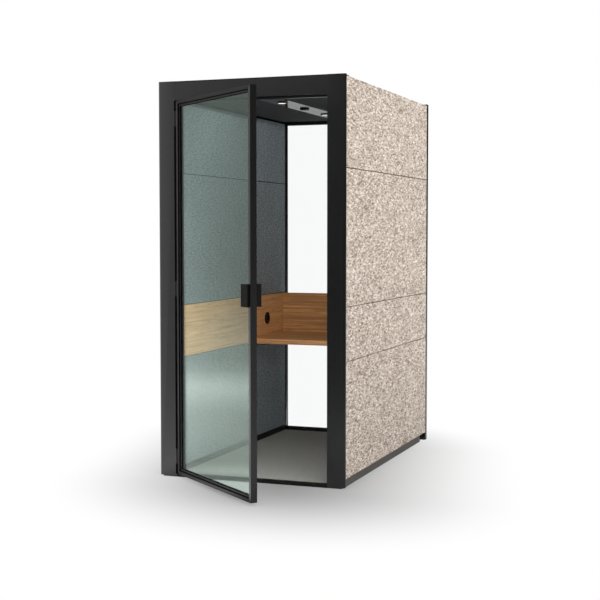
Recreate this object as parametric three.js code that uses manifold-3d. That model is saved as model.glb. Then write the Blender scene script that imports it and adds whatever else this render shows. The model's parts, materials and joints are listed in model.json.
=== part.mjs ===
// Acoustic office pod for one person, in millimetres, +Z up.
// The origin is on the floor under the middle of the pod.
// +X is to the right seen from the door, +Y to the rear window.
import * as THREE from "three";
import { mergeVertices } from "three/addons/utils/BufferGeometryUtils.js";
import Module from "manifold-3d";

// Overall size of the body, without the open door
const POD_W = 1142;
const POD_D = 1800;
const POD_H = 2300;

// Sides of round shapes, by size
const ROUND_FINE = 48;
const ROUND = 32;
const ROUND_SMALL = 24;

// Clearances
const FIT_GAP = 0.3; // between a piece and the cut or seat that holds it
const RUNNING_GAP = 0.08; // between a pin and the hole it turns in
const PAST = 1; // how far a cutting or joined shape runs past the face it meets
const PANEL_SEAM = 4; // shadow gap between two panels of a wall

// Front frame: two stiles and a header, with a lip that stops the door
const STILE_FACE = 107;
const HEADER_FACE = 108;
const FRAME_DEPTH = 92;
const FRAME_RETURN = 18; // bare side of the frame ahead of the felt
const FRAME_CHAMFER_W = 11;
const FRAME_CHAMFER_D = 4;
const TOE_W = 20; // relieved outer toe of each stile
const TOE_H = 6;
const STOP_H = 12;
const STOP_DEPTH = 15;
const SEAL_T = 2;
const SEAL_W = 9;
const SEAL_INSET = 1; // from the reveal

// Rear frame and window
const REAR_DEPTH = 40;
const REAR_STILE_FACE = 114;
const REAR_TOP_FACE = 111;
const REAR_BOTTOM_FACE = 38;
const GLASS_T = 10;
const GLASS_BITE = 10; // depth of the groove that holds a glass edge

// Side walls: felt outside, a sandwich core, a lining inside
const FELT_T = 12;
const LINING_T = 12;
const FELT_SEAMS = [710, 1015, 1788]; // heights above the floor
const BAND_LOW = 695; // the oak band of the lining
const BAND_HIGH = 1003;
const LINING_SEAM = 1775;
const CEILING_SEAM = 7; // shadow gap over the lining

// Base
const BASE_H = 53;
const PLINTH_SETBACK = 15;
const PLINTH_TONGUE_T = 16; // front end of the base beam, which laps over the stile
const FOOT_BAY = 85; // open rear end of the base beam
const FLOOR_T = 11;
const CARPET_T = 4;
const THRESHOLD_H = 14;
const THRESHOLD_DEPTH = 60;
const CATCH_W = 46; // pocket for the door catch in the threshold
const CATCH_H = 9;
const CATCH_DEPTH = 12;
const CATCH_FROM_LATCH = 110;

// Levelling feet
const FOOT_R = 20;
const FOOT_PAD_T = 10;
const FOOT_ROD_R = 6;
const FOOT_ROD_BITE = 40; // length of rod held in the wall core
const FOOT_FROM_FRONT = 160;
const FOOT_FROM_SIDE = 55;

// Roof and ceiling
const ROOF_DROP = 9; // roof and felt end this far under the frame's top
const ROOF_T = 30;
const CEILING_T = 22;
const STRIP_W = 152;
const STRIP_T = 4;
const STRIP_SLOT = 6; // air slot on each side of the strip
const PLENUM_H = 12; // air space over the strip
const LAMP_PITCH = 790; // between the two downlights
const LAMP_R = 29.5;
const LAMP_RING_T = 6;
const LENS_R = 24;
const LENS_DROP = 3.5;
const LENS_SHOULDER_R = 17;
const LENS_SHOULDER_DROP = 2.5;
const SENSOR_R = 29;
const SENSOR_DROP = 10;
const SENSOR_FACE_R = 26;
const SENSOR_RIM_T = 8;
const SPIGOT_R = 20; // neck of a ceiling fitting
const SPIGOT_H = 8;

// Fan, lamp driver and power inlet
const FAN_SIZE = 120;
const FAN_T = 25;
const FAN_AIR_GAP = 3.5; // under the fan, over the ceiling panel
const FAN_BORE_R = 56;
const FAN_TIP_GAP = 2.5;
const FAN_FROM_FRONT = 720;
const FAN_HUB_R = 20;
const FAN_SHAFT_R = 3;
const FAN_MOUNT_T = 6;
const FAN_BLADES = 7;
const BLADE_CHORD = 20;
const BLADE_T = 1.8;
const BLADE_ROOT_BITE = 2; // blade length inside the hub
const BLADE_TILT = 35; // degrees
const DRIVER_L = 150;
const DRIVER_W = 45;
const DRIVER_T = 20;
const DRIVER_FROM_FRONT = 1150;
const INLET_W = 48;
const INLET_L = 32;
const INLET_FLANGE_T = 3;
const INLET_RIM = 9; // flange beyond the body
const INLET_WALL = 3;
const INLET_BODY_H = 26;
const INLET_FROM_SIDE = 191;
const INLET_FROM_BACK = 110;

// Door
const DOOR_OPEN = 39.5; // degrees, as stored
const DOOR_T = 38;
const DOOR_LIP = 20; // outer face of a door member
const DOOR_BEAD = 14; // set-back bead beside the glass
const DOOR_BEAD_DROP = 7;
const HINGE_SIDE_GAP = 7.5;
const LATCH_SIDE_GAP = 4.5;
const DOOR_TOP_GAP = 3;
const DOOR_BOTTOM_GAP = 3;
const PIVOT_DEPTH = 3; // hinge axis behind the frame's front face
const HINGE_H = 88;
const HINGE_INSET = 104; // from a door end to the middle of its nearest hinge
const HINGE_LEAF_T = 2;
const HINGE_LEAF_W = 30;
const PIN_R = 1.8;
const KNUCKLE_GAP = 0.4;

// Door handle: a grip plate on a block outside, an angle inside, bolted together through the latch stile
const HANDLE_W = 72;
const HANDLE_H = 119;
const HANDLE_T = 4;
const HANDLE_Z = 1102;
const HANDLE_OUT_GAP = 15;
const HANDLE_IN_GAP = 30;
const HANDLE_IN_SETBACK = 12; // inner plate's edge from the latch edge, clear of the stop lip
const HANDLE_POST_R = 5;
const HANDLE_POST_INSET = 18;
const HANDLE_POST_PITCH = 70;
const HANDLE_BLOCK_W = 32;
const HANDLE_BLOCK_INSET = 3; // from the latch edge

// Desk, rear board and power socket
const DESK_H = 730;
const DESK_T = 34;
const DESK_D = 643;
const DESK_SIDE_GAP = 1;
const BOARD_T = 22;
const BOARD_TO_WINDOW = 33;
const BRACKET_LEG = 40;
const BRACKET_T = 4;
const BRACKET_L = 520;
const SOCKET_R = 41;
const SOCKET_RIM_T = 6;
const SOCKET_BODY_R = 32;
const SOCKET_WELL_R = 20;
const SOCKET_WELL_D = 10;
const SOCKET_ABOVE_DESK = 112;
const SOCKET_FROM_BOARD = 292;

// Planes that several pieces share
const LEFT = -1;
const RIGHT = 1;
const FRONT = -POD_D / 2;
const BACK = POD_D / 2;
const SIDE = POD_W / 2;
const FELT_BACK = SIDE - FELT_T;
const ROOM_SIDE = SIDE - STILE_FACE;
const CORE_IN = ROOM_SIDE + LINING_T;
const WALL_FRONT = FRONT + FRAME_DEPTH;
const WALL_BACK = BACK - REAR_DEPTH;
const PLINTH_OUT = SIDE - PLINTH_SETBACK;
const FLOOR_TOP = FLOOR_T + CARPET_T;
const ROOF_TOP = POD_H - ROOF_DROP;
const ROOF_UNDER = ROOF_TOP - ROOF_T;
const CEILING_TOP = ROOF_UNDER - FAN_T - FAN_AIR_GAP;
const CEILING_UNDER = CEILING_TOP - CEILING_T;
const HEADER_UNDER = POD_H - HEADER_FACE;
const STOP_FRONT = FRONT + DOOR_T + SEAL_T + FIT_GAP;
const STOP_BACK = STOP_FRONT + STOP_DEPTH;
const FAN_Y = FRONT + FAN_FROM_FRONT;
const REAR_GLASS_FRONT = BACK - (REAR_DEPTH + GLASS_T) / 2;
const BOARD_BACK = WALL_BACK - BOARD_TO_WINDOW;
const BOARD_FRONT = BOARD_BACK - BOARD_T;
const DESK_FRONT = BOARD_FRONT - DESK_D;
const DESK_UNDER = DESK_H - DESK_T;

// Door planes, in the door's own frame: origin on the hinge axis, +X to the latch edge, +Y into the cabin
const PIVOT_X = -ROOM_SIDE + HINGE_SIDE_GAP / 2;
const PIVOT_Y = FRONT + PIVOT_DEPTH;
const DOOR_HINGE_EDGE = HINGE_SIDE_GAP / 2;
const DOOR_LATCH_EDGE = 2 * ROOM_SIDE - HINGE_SIDE_GAP / 2 - LATCH_SIDE_GAP;
const DOOR_OUT = -PIVOT_DEPTH;
const DOOR_IN = DOOR_OUT + DOOR_T;
const DOOR_BOTTOM = THRESHOLD_H + DOOR_BOTTOM_GAP;
const DOOR_TOP = HEADER_UNDER - DOOR_TOP_GAP;
const DOOR_FACE = DOOR_LIP + DOOR_BEAD;
const KNUCKLE_R = HINGE_SIDE_GAP / 2 - FIT_GAP;
const HINGES = {
  lower: DOOR_BOTTOM + HINGE_INSET,
  middle: (DOOR_BOTTOM + DOOR_TOP) / 2,
  upper: DOOR_TOP - HINGE_INSET,
};

// Finishes
const finish = (color, roughness, metalness = 0) =>
  new THREE.MeshStandardMaterial({ color, roughness, metalness });
const ANTHRACITE = finish("#333433", 0.45, 0.3);
const FELT = finish("#cdbeae", 0.95);
const FABRIC = finish("#5c6467", 0.95);
const OAK = finish("#9a7448", 0.6);
const GREY_METAL = finish("#5f5a58", 0.6, 0.3);
const BLACK_PLASTIC = finish("#161616", 0.5);
const RUBBER = finish("#101010", 0.85);
const CARPET = finish("#575653", 1);
const CEILING_FELT = finish("#2f3434", 0.95);
const GLOSS = finish("#1b1c1d", 0.12, 0.2);
const STEEL = finish("#8f9192", 0.35, 0.9);
const BOARD_CORE = finish("#8a8378", 0.9);
const LENS = finish("#f4f2ea", 0.3);
const GLASS = finish("#b9c9c1", 0.05);
GLASS.transparent = true;
GLASS.opacity = 0.3;

// Joining and cutting of closed shapes
const wasm = await Module();
wasm.setup();

function toSolid(geometry) {
  const bare = geometry.clone();
  bare.deleteAttribute("normal");
  bare.deleteAttribute("uv");
  const merged = mergeVertices(bare);
  const vertProperties = merged.attributes.position.array;
  const triVerts = new Uint32Array(merged.index.array);
  return new wasm.Manifold(new wasm.Mesh({ numProp: 3, vertProperties, triVerts }));
}

function toGeometry(solid) {
  const { vertProperties, triVerts } = solid.getMesh();
  const geometry = new THREE.BufferGeometry();
  geometry.setAttribute("position", new THREE.BufferAttribute(vertProperties, 3));
  geometry.setIndex(new THREE.BufferAttribute(triVerts, 1));
  geometry.computeVertexNormals();
  return geometry;
}

const cut = (shape, ...tools) =>
  toGeometry(tools.map(toSolid).reduce((rest, tool) => rest.subtract(tool), toSolid(shape)));

const join = (...shapes) =>
  toGeometry(shapes.map(toSolid).reduce((whole, shape) => whole.add(shape)));

// Basic shapes. A range is [low, high].
function block(xs, ys, zs) {
  const ranges = [xs, ys, zs];
  const size = ranges.map(([low, high]) => high - low);
  const middle = ranges.map(([low, high]) => (low + high) / 2);
  return new THREE.BoxGeometry(...size).translate(...middle);
}

const around = (middle, width) => [middle - width / 2, middle + width / 2];

// A range across the pod on one side, given from the middle outwards
const onSide = (side, inner, outer) => (side === RIGHT ? [inner, outer] : [-outer, -inner]);

function upright(r, [low, high], x, y, sides = ROUND) {
  const post = new THREE.CylinderGeometry(r, r, high - low, sides);
  return post.rotateX(Math.PI / 2).translate(x, y, (low + high) / 2);
}

// A shape turned about a vertical axis, from [radius, height] points that start and end on the axis
function turned(points, sides = ROUND_FINE) {
  const profile = points.map(([r, z]) => new THREE.Vector2(r, z));
  return new THREE.LatheGeometry(profile, sides).rotateX(Math.PI / 2);
}

function prism(points, length) {
  const outline = new THREE.Shape(points.map(([u, v]) => new THREE.Vector2(u, v)));
  return new THREE.ExtrudeGeometry(outline, { depth: length, bevelEnabled: false });
}

const pod = new THREE.Group();

function add(parent, name, geometry, material) {
  const mesh = new THREE.Mesh(geometry, material);
  mesh.name = name;
  parent.add(mesh);
}

const SIDES = [
  ["left", LEFT],
  ["right", RIGHT],
];

// Base: floor panel, floor covering, threshold and a base beam under each wall
const floorX = [-ROOM_SIDE, ROOM_SIDE];
const floorY = [FRONT + THRESHOLD_DEPTH, WALL_BACK];
add(pod, "floor_panel", block(floorX, floorY, [0, FLOOR_T]), BOARD_CORE);
add(pod, "carpet", block(floorX, floorY, [FLOOR_T, FLOOR_TOP]), CARPET);

const catchX = around(ROOM_SIDE - CATCH_FROM_LATCH, CATCH_W);
const catchZ = [THRESHOLD_H - CATCH_H, THRESHOLD_H + PAST];
const catchPocket = block(catchX, [FRONT - PAST, FRONT + CATCH_DEPTH], catchZ);
const sill = block(floorX, [FRONT, FRONT + THRESHOLD_DEPTH], [0, THRESHOLD_H]);
add(pod, "threshold", cut(sill, catchPocket), ANTHRACITE);

const beamBack = WALL_BACK - FOOT_BAY;
const footX = SIDE - FOOT_FROM_SIDE;
const frontFootY = FRONT + FOOT_FROM_FRONT;
const rearFootY = WALL_BACK - FOOT_BAY / 2;

for (const [name, side] of SIDES) {
  const beam = block(onSide(side, ROOM_SIDE, PLINTH_OUT), [WALL_FRONT, beamBack], [0, BASE_H]);
  const tongueX = onSide(side, PLINTH_OUT - PLINTH_TONGUE_T, PLINTH_OUT);
  const tongue = block(tongueX, [FRONT + FRAME_RETURN, WALL_FRONT + PAST], [0, BASE_H]);
  const footWell = upright(FOOT_R + FIT_GAP, [-PAST, BASE_H + PAST], side * footX, frontFootY);
  add(pod, `base_beam_${name}`, cut(join(beam, tongue), footWell), GREY_METAL);
}

// Levelling feet: a pad on a threaded rod that is held in the wall core
for (const [name, side] of SIDES) {
  for (const [place, y] of [["front", frontFootY], ["rear", rearFootY]]) {
    const pad = upright(FOOT_R, [0, FOOT_PAD_T], side * footX, y);
    const rodZ = [FOOT_PAD_T - PAST, BASE_H + FOOT_ROD_BITE];
    const rod = upright(FOOT_ROD_R, rodZ, side * footX, y, ROUND_SMALL);
    add(pod, `foot_${place}_${name}`, join(pad, rod), BLACK_PLASTIC);
  }
}

// Front frame
for (const [name, side] of SIDES) {
  const section = [
    [ROOM_SIDE, FRONT],
    [SIDE - FRAME_CHAMFER_W, FRONT],
    [SIDE, FRONT + FRAME_CHAMFER_D],
    [SIDE, FRONT + FRAME_RETURN],
    [FELT_BACK, FRONT + FRAME_RETURN],
    [FELT_BACK, WALL_FRONT],
    [ROOM_SIDE, WALL_FRONT],
    [ROOM_SIDE, STOP_BACK],
    [ROOM_SIDE - STOP_H, STOP_BACK],
    [ROOM_SIDE - STOP_H, STOP_FRONT],
    [ROOM_SIDE, STOP_FRONT],
  ];
  const post = prism(section.map(([x, y]) => [side * x, y]), POD_H);
  const toeX = onSide(side, SIDE - TOE_W, SIDE + PAST);
  const toe = block(toeX, [FRONT - PAST, FRONT + FRAME_RETURN], [-PAST, TOE_H]);
  const tongueSeatX = onSide(side, PLINTH_OUT - PLINTH_TONGUE_T - FIT_GAP, SIDE);
  const tongueSeat = block(tongueSeatX, [FRONT + FRAME_RETURN, WALL_FRONT + PAST], [-PAST, BASE_H]);
  const headerStopX = onSide(side, ROOM_SIDE - STOP_H - PAST, ROOM_SIDE);
  const stopY = [STOP_FRONT - PAST, STOP_BACK + PAST];
  const headerStop = block(headerStopX, stopY, [HEADER_UNDER - STOP_H, POD_H + PAST]);
  const sillSeat = block(headerStopX, stopY, [-PAST, THRESHOLD_H]);
  add(pod, `front_stile_${name}`, cut(post, toe, tongueSeat, headerStop, sillSeat), ANTHRACITE);
}

const headerSection = [
  [FRONT, HEADER_UNDER],
  [STOP_FRONT, HEADER_UNDER],
  [STOP_FRONT, HEADER_UNDER - STOP_H],
  [STOP_BACK, HEADER_UNDER - STOP_H],
  [STOP_BACK, HEADER_UNDER],
  [WALL_FRONT, HEADER_UNDER],
  [WALL_FRONT, POD_H],
  [FRONT + FRAME_CHAMFER_D, POD_H],
  [FRONT, POD_H - FRAME_CHAMFER_W],
];
// The section's (y, z) plane is stood up by a turn that sends the extrusion along +X.
const yzToWorld = new THREE.Matrix4().makeBasis(
  new THREE.Vector3(0, 1, 0),
  new THREE.Vector3(0, 0, 1),
  new THREE.Vector3(1, 0, 0),
);
const header = prism(headerSection, 2 * ROOM_SIDE).applyMatrix4(yzToWorld).translate(-ROOM_SIDE, 0, 0);
add(pod, "front_header", header, ANTHRACITE);

const sealY = [STOP_FRONT - SEAL_T, STOP_FRONT];
const sealOutside = ROOM_SIDE - SEAL_INSET;
const sealRing = block([-sealOutside, sealOutside], sealY, [THRESHOLD_H, HEADER_UNDER - SEAL_INSET]);
const sealInside = sealOutside - SEAL_W;
const sealHoleZ = [0, HEADER_UNDER - SEAL_INSET - SEAL_W];
const sealHole = block([-sealInside, sealInside], [sealY[0] - PAST, sealY[1] + PAST], sealHoleZ);
add(pod, "door_seal", cut(sealRing, sealHole), RUBBER);

// Rear frame and window. The glass edges sit in grooves of the four members.
const rearY = [WALL_BACK, BACK];
const rearOpening = SIDE - REAR_STILE_FACE;
const rearGlassX = rearOpening + GLASS_BITE;
const rearGlassZ = [REAR_BOTTOM_FACE - GLASS_BITE, POD_H - REAR_TOP_FACE + GLASS_BITE];
const grooveY = [REAR_GLASS_FRONT - FIT_GAP, REAR_GLASS_FRONT + GLASS_T + FIT_GAP];
const rearGroove = block([-rearGlassX, rearGlassX], grooveY, rearGlassZ);

for (const [name, side] of SIDES) {
  const post = block(onSide(side, rearOpening, SIDE), rearY, [0, POD_H]);
  add(pod, `rear_stile_${name}`, cut(post, rearGroove), ANTHRACITE);
}
const railX = [-rearOpening, rearOpening];
const topRail = block(railX, rearY, [POD_H - REAR_TOP_FACE, POD_H]);
add(pod, "rear_rail_top", cut(topRail, rearGroove), ANTHRACITE);
const bottomRail = block(railX, rearY, [0, REAR_BOTTOM_FACE]);
add(pod, "rear_rail_bottom", cut(bottomRail, rearGroove), ANTHRACITE);

const paneX = [-rearGlassX + FIT_GAP, rearGlassX - FIT_GAP];
const paneZ = [rearGlassZ[0] + FIT_GAP, rearGlassZ[1] - FIT_GAP];
add(pod, "rear_glass", block(paneX, [REAR_GLASS_FRONT, REAR_GLASS_FRONT + GLASS_T], paneZ), GLASS);

// Side walls
const wallY = [WALL_FRONT, WALL_BACK];
for (const [name, side] of SIDES) {
  const core = block(onSide(side, CORE_IN, FELT_BACK), wallY, [BASE_H, ROOF_UNDER]);
  const holeZ = [BASE_H - PAST, BASE_H + FOOT_ROD_BITE + FIT_GAP];
  const rodHoles = [frontFootY, rearFootY].map((y) =>
    upright(FOOT_ROD_R + FIT_GAP, holeZ, side * footX, y, ROUND_SMALL),
  );
  add(pod, `wall_core_${name}`, cut(core, ...rodHoles), BOARD_CORE);
}

// Cuts a wall's height into panels with a shadow gap at each seam.
function panelHeights(bottom, seams, top) {
  const lows = [bottom, ...seams.map((z) => z + PANEL_SEAM / 2)];
  const highs = [...seams.map((z) => z - PANEL_SEAM / 2), top];
  return lows.map((low, i) => [low, highs[i]]);
}

const PANELS = ["lower", "band", "middle", "upper"];
const feltHeights = panelHeights(BASE_H, FELT_SEAMS, ROOF_TOP);
const liningTop = CEILING_UNDER - CEILING_SEAM;
const liningHeights = panelHeights(BASE_H, [BAND_LOW, BAND_HIGH, LINING_SEAM], liningTop);
const socketY = BOARD_FRONT - SOCKET_FROM_BOARD;
const socketZ = DESK_H + SOCKET_ABOVE_DESK;

// A round shape laid on the left wall, with its axis into the cabin
const onLeftWall = (shape) => shape.rotateY(Math.PI / 2).translate(-ROOM_SIDE, socketY, socketZ);

const socketHole = onLeftWall(upright(SOCKET_BODY_R + FIT_GAP, [-LINING_T - PAST, PAST], 0, 0, ROUND_FINE));

for (const [name, side] of SIDES) {
  PANELS.forEach((place, i) => {
    const felt = block(onSide(side, FELT_BACK, SIDE), [FRONT + FRAME_RETURN, WALL_BACK], feltHeights[i]);
    add(pod, `felt_${name}_${place}`, felt, FELT);
    const plain = block(onSide(side, ROOM_SIDE, CORE_IN), wallY, liningHeights[i]);
    const holdsSocket = side === LEFT && place === "band";
    const lining = holdsSocket ? cut(plain, socketHole) : plain;
    add(pod, `lining_${name}_${place}`, lining, place === "band" ? OAK : FABRIC);
  });
}

const socketProfile = [
  [0, -LINING_T],
  [SOCKET_BODY_R, -LINING_T],
  [SOCKET_BODY_R, 0],
  [SOCKET_R, 0],
  [SOCKET_R, SOCKET_RIM_T / 2],
  [SOCKET_R - SOCKET_RIM_T / 2, SOCKET_RIM_T],
  [SOCKET_WELL_R, SOCKET_RIM_T],
  [SOCKET_WELL_R, SOCKET_RIM_T - SOCKET_WELL_D],
  [0, SOCKET_RIM_T - SOCKET_WELL_D],
];
add(pod, "power_socket", onLeftWall(turned(socketProfile)), BLACK_PLASTIC);

// Roof panel with the air outlet and the power inlet
const inletX = SIDE - INLET_FROM_SIDE;
const inletY = BACK - INLET_FROM_BACK;
const inletBodyX = around(inletX, INLET_W - 2 * INLET_RIM);
const inletBodyY = around(inletY, INLET_L - INLET_RIM);
const inletHole = block(
  around(inletX, INLET_W - 2 * INLET_RIM + 2 * FIT_GAP),
  around(inletY, INLET_L - INLET_RIM + 2 * FIT_GAP),
  [ROOF_UNDER - PAST, ROOF_TOP + PAST],
);
const outlet = upright(FAN_BORE_R, [ROOF_UNDER - PAST, ROOF_TOP + PAST], 0, FAN_Y, ROUND_FINE);
const roof = block([-FELT_BACK, FELT_BACK], wallY, [ROOF_UNDER, ROOF_TOP]);
add(pod, "roof_panel", cut(roof, outlet, inletHole), BOARD_CORE);

const inletTop = ROOF_TOP + INLET_FLANGE_T;
const inletFlange = block(around(inletX, INLET_W), around(inletY, INLET_L), [ROOF_TOP, inletTop]);
const inletBody = block(inletBodyX, inletBodyY, [ROOF_TOP - INLET_BODY_H, ROOF_TOP + PAST]);
const inletWell = block(
  around(inletX, INLET_W - 2 * INLET_RIM - 2 * INLET_WALL),
  around(inletY, INLET_L - INLET_RIM - 2 * INLET_WALL),
  [ROOF_TOP - INLET_BODY_H + INLET_WALL, inletTop + PAST],
);
add(pod, "power_inlet", cut(join(inletFlange, inletBody), inletWell), BLACK_PLASTIC);

const driverY = FRONT + DRIVER_FROM_FRONT;
const driverCase = block(around(0, DRIVER_W), around(driverY, DRIVER_L), [ROOF_UNDER - DRIVER_T, ROOF_UNDER]);
add(pod, "lamp_driver", driverCase, BLACK_PLASTIC);

// Ceiling panel: a groove for the strip, open to the fan above it
const grooveX = around(0, STRIP_W + 2 * STRIP_SLOT);
const stripGrooveZ = [CEILING_UNDER - PAST, CEILING_UNDER + STRIP_T + PLENUM_H];
const groove = block(grooveX, [WALL_FRONT - PAST, WALL_BACK + PAST], stripGrooveZ);
const fanInlet = upright(FAN_BORE_R, [CEILING_UNDER, CEILING_TOP + PAST], 0, FAN_Y, ROUND_FINE);
const ceiling = block([-CORE_IN, CORE_IN], wallY, [CEILING_UNDER, CEILING_TOP]);
add(pod, "ceiling_panel", cut(ceiling, groove, fanInlet), CEILING_FELT);

const lampYs = { front: -LAMP_PITCH / 2, rear: LAMP_PITCH / 2 };
const sensorY = 0;
const strip = block(around(0, STRIP_W), wallY, [CEILING_UNDER, CEILING_UNDER + STRIP_T]);
const necks = [lampYs.front, sensorY, lampYs.rear].map((y) =>
  upright(SPIGOT_R + FIT_GAP, [CEILING_UNDER - PAST, CEILING_UNDER + STRIP_T + PAST], 0, y),
);
add(pod, "ceiling_strip", cut(strip, ...necks), GLOSS);

// Ceiling fittings hang under the strip by a neck through it. Heights are from the strip's face.
const downlightProfile = [
  [0, -LAMP_RING_T - LENS_DROP],
  [LENS_SHOULDER_R, -LAMP_RING_T - LENS_SHOULDER_DROP],
  [LENS_R, -LAMP_RING_T],
  [LAMP_R, -LAMP_RING_T],
  [LAMP_R, 0],
  [SPIGOT_R, 0],
  [SPIGOT_R, SPIGOT_H],
  [0, SPIGOT_H],
];
for (const [place, y] of Object.entries(lampYs)) {
  add(pod, `downlight_${place}`, turned(downlightProfile).translate(0, y, CEILING_UNDER), LENS);
}
const sensorProfile = [
  [0, -SENSOR_DROP],
  [SENSOR_FACE_R, -SENSOR_DROP],
  [SENSOR_R, -SENSOR_RIM_T],
  [SENSOR_R, 0],
  [SPIGOT_R, 0],
  [SPIGOT_R, SPIGOT_H],
  [0, SPIGOT_H],
];
add(pod, "motion_sensor", turned(sensorProfile).translate(0, sensorY, CEILING_UNDER), BLACK_PLASTIC);

// Fan: the housing hangs under the roof and carries the rotor on a shaft
const fanBottom = ROOF_UNDER - FAN_T;
const fanZ = [fanBottom, ROOF_UNDER];
const mountZ = [fanBottom, fanBottom + FAN_MOUNT_T];
const fanCase = cut(
  block(around(0, FAN_SIZE), around(FAN_Y, FAN_SIZE), fanZ),
  upright(FAN_BORE_R, [fanBottom - PAST, ROOF_UNDER + PAST], 0, FAN_Y, ROUND_FINE),
);
const spokeL = 2 * FAN_BORE_R + 2;
const spokes = [
  block(around(0, spokeL), around(FAN_Y, FAN_MOUNT_T), mountZ),
  block(around(0, FAN_MOUNT_T), around(FAN_Y, spokeL), mountZ),
];
const mountPlate = upright(FAN_HUB_R, mountZ, 0, FAN_Y);
const shaftHole = upright(FAN_SHAFT_R + RUNNING_GAP, [fanBottom - PAST, mountZ[1] + PAST], 0, FAN_Y);
add(pod, "fan_housing", cut(join(fanCase, mountPlate, ...spokes), shaftHole), BLACK_PLASTIC);

const rotorZ = [mountZ[1] + FIT_GAP, ROOF_UNDER - FAN_TIP_GAP];
const rotorMiddle = (rotorZ[0] + rotorZ[1]) / 2;
const bladeRoot = FAN_HUB_R - BLADE_ROOT_BITE;
const bladeTip = FAN_BORE_R - FAN_TIP_GAP;
const blades = Array.from({ length: FAN_BLADES }, (_, i) => {
  const blade = new THREE.BoxGeometry(bladeTip - bladeRoot, BLADE_CHORD, BLADE_T);
  blade.rotateX(THREE.MathUtils.degToRad(BLADE_TILT));
  blade.translate((bladeTip + bladeRoot) / 2, 0, rotorMiddle);
  return blade.rotateZ((i * 2 * Math.PI) / FAN_BLADES).translate(0, FAN_Y, 0);
});
const rotorHub = upright(FAN_HUB_R, rotorZ, 0, FAN_Y);
const rotorShaft = upright(FAN_SHAFT_R, [fanBottom, rotorZ[0] + PAST], 0, FAN_Y);
add(pod, "fan_rotor", join(rotorHub, rotorShaft, ...blades), BLACK_PLASTIC);

// Desk, its brackets, and the board across the window
const deskX = [-ROOM_SIDE + DESK_SIDE_GAP, ROOM_SIDE - DESK_SIDE_GAP];
add(pod, "desk_top", block(deskX, [DESK_FRONT, BOARD_FRONT], [DESK_UNDER, DESK_H]), OAK);
add(pod, "rear_board", block(floorX, [BOARD_FRONT, BOARD_BACK], [BAND_LOW, BAND_HIGH]), OAK);

for (const [name, side] of SIDES) {
  const bracketY = around((DESK_FRONT + BOARD_FRONT) / 2, BRACKET_L);
  const wallLeg = block(
    onSide(side, ROOM_SIDE - BRACKET_T, ROOM_SIDE),
    bracketY,
    [DESK_UNDER - BRACKET_LEG, DESK_UNDER],
  );
  const deskLeg = block(
    onSide(side, ROOM_SIDE - BRACKET_LEG, ROOM_SIDE),
    bracketY,
    [DESK_UNDER - BRACKET_T, DESK_UNDER],
  );
  add(pod, `desk_bracket_${name}`, join(wallLeg, deskLeg), STEEL);
}

// Hinges: the fixed leaves with their end knuckles and the pin. The door carries the knuckle between them.
const knuckleThird = HINGE_H / 3;
for (const [place, z] of Object.entries(HINGES)) {
  const ends = [
    [z - HINGE_H / 2, z - HINGE_H / 2 + knuckleThird],
    [z + HINGE_H / 2 - knuckleThird, z + HINGE_H / 2],
  ];
  const knuckles = ends.map((zs) => upright(KNUCKLE_R, zs, PIVOT_X, PIVOT_Y, ROUND_SMALL));
  const leafX = [-ROOM_SIDE, -ROOM_SIDE + HINGE_LEAF_T];
  const leaves = ends.map((zs) => block(leafX, [PIVOT_Y, PIVOT_Y + HINGE_LEAF_W], zs));
  const pin = upright(PIN_R, around(z, HINGE_H), PIVOT_X, PIVOT_Y, ROUND_SMALL);
  add(pod, `hinge_${place}`, join(...knuckles, ...leaves, pin), ANTHRACITE);
}

// Door, drawn shut in its own frame and then swung open about the hinge axis
const door = new THREE.Group();
door.position.set(PIVOT_X, PIVOT_Y, 0);
door.rotation.z = THREE.MathUtils.degToRad(-DOOR_OPEN);
pod.add(door);

const glassOut = (DOOR_T - GLASS_T) / 2;
const grooveEnd = DOOR_FACE - GLASS_BITE;
// Section of a door member: distance from the door's edge, depth behind its outer face
const doorSection = [
  [0, 0],
  [DOOR_LIP, 0],
  [DOOR_LIP, DOOR_BEAD_DROP],
  [DOOR_FACE, DOOR_BEAD_DROP],
  [DOOR_FACE, glassOut - FIT_GAP],
  [grooveEnd, glassOut - FIT_GAP],
  [grooveEnd, glassOut + GLASS_T + FIT_GAP],
  [DOOR_FACE, glassOut + GLASS_T + FIT_GAP],
  [DOOR_FACE, DOOR_T],
  [0, DOOR_T],
];

// A member with mitred ends: each end is cut back by the distance from the door's edge.
function doorMember(length, edgeAxis, lengthAxis, corner) {
  const member = prism(doorSection, length);
  const points = member.attributes.position;
  for (let i = 0; i < points.count; i += 1) {
    const mitre = points.getX(i) + FIT_GAP / 2;
    points.setZ(i, points.getZ(i) > length / 2 ? length - mitre : mitre);
  }
  const turn = new THREE.Matrix4().makeBasis(edgeAxis, new THREE.Vector3(0, 1, 0), lengthAxis);
  return member.applyMatrix4(turn).translate(...corner);
}

const doorW = DOOR_LATCH_EDGE - DOOR_HINGE_EDGE;
const doorH = DOOR_TOP - DOOR_BOTTOM;
const ACROSS = new THREE.Vector3(1, 0, 0);
const UP = new THREE.Vector3(0, 0, 1);
const BACKWARDS = ACROSS.clone().negate();
const DOWN = UP.clone().negate();

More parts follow.
